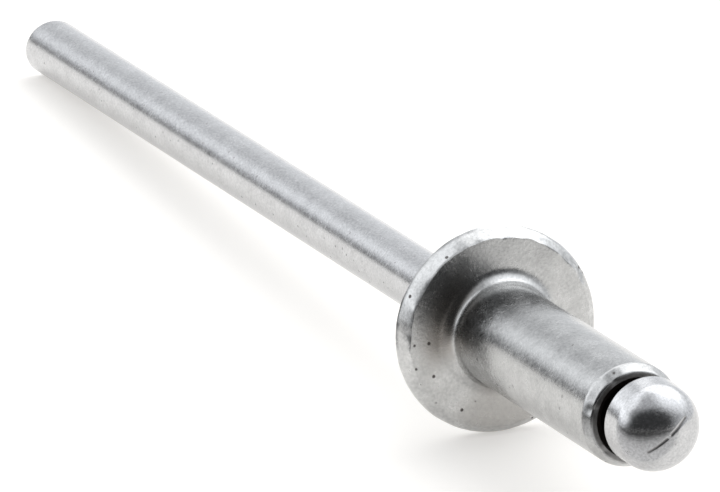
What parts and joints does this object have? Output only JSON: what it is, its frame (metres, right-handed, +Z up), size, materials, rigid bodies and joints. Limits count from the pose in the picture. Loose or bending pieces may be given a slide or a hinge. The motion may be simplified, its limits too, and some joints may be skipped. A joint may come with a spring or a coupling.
{
  "type": "blind rivet",
  "caption": "Open-end blind rivet with a domed flange, hollow tube and headed break-stem mandrel, unset.",
  "frame": {"origin": "centre of the flange's seating face, on the rivet's axis", "axes": "+X along the rivet toward the blind end, which lies about 3.6 degrees above level; +Z up; the rivet lies as it rests, on the flange's rim and the mandrel's tail"},
  "size_m": [0.0499, 0.0064, 0.0065],
  "materials": {
    "body_alloy": "cold-formed, dull silver, slightly mottled",
    "mandrel_steel": "drawn bright wire with a smoother upset head"
  },
  "bodies": {
    "root": {"rivet_body": "body_alloy", "mandrel": "mandrel_steel"}
  },
  "joints": []
}
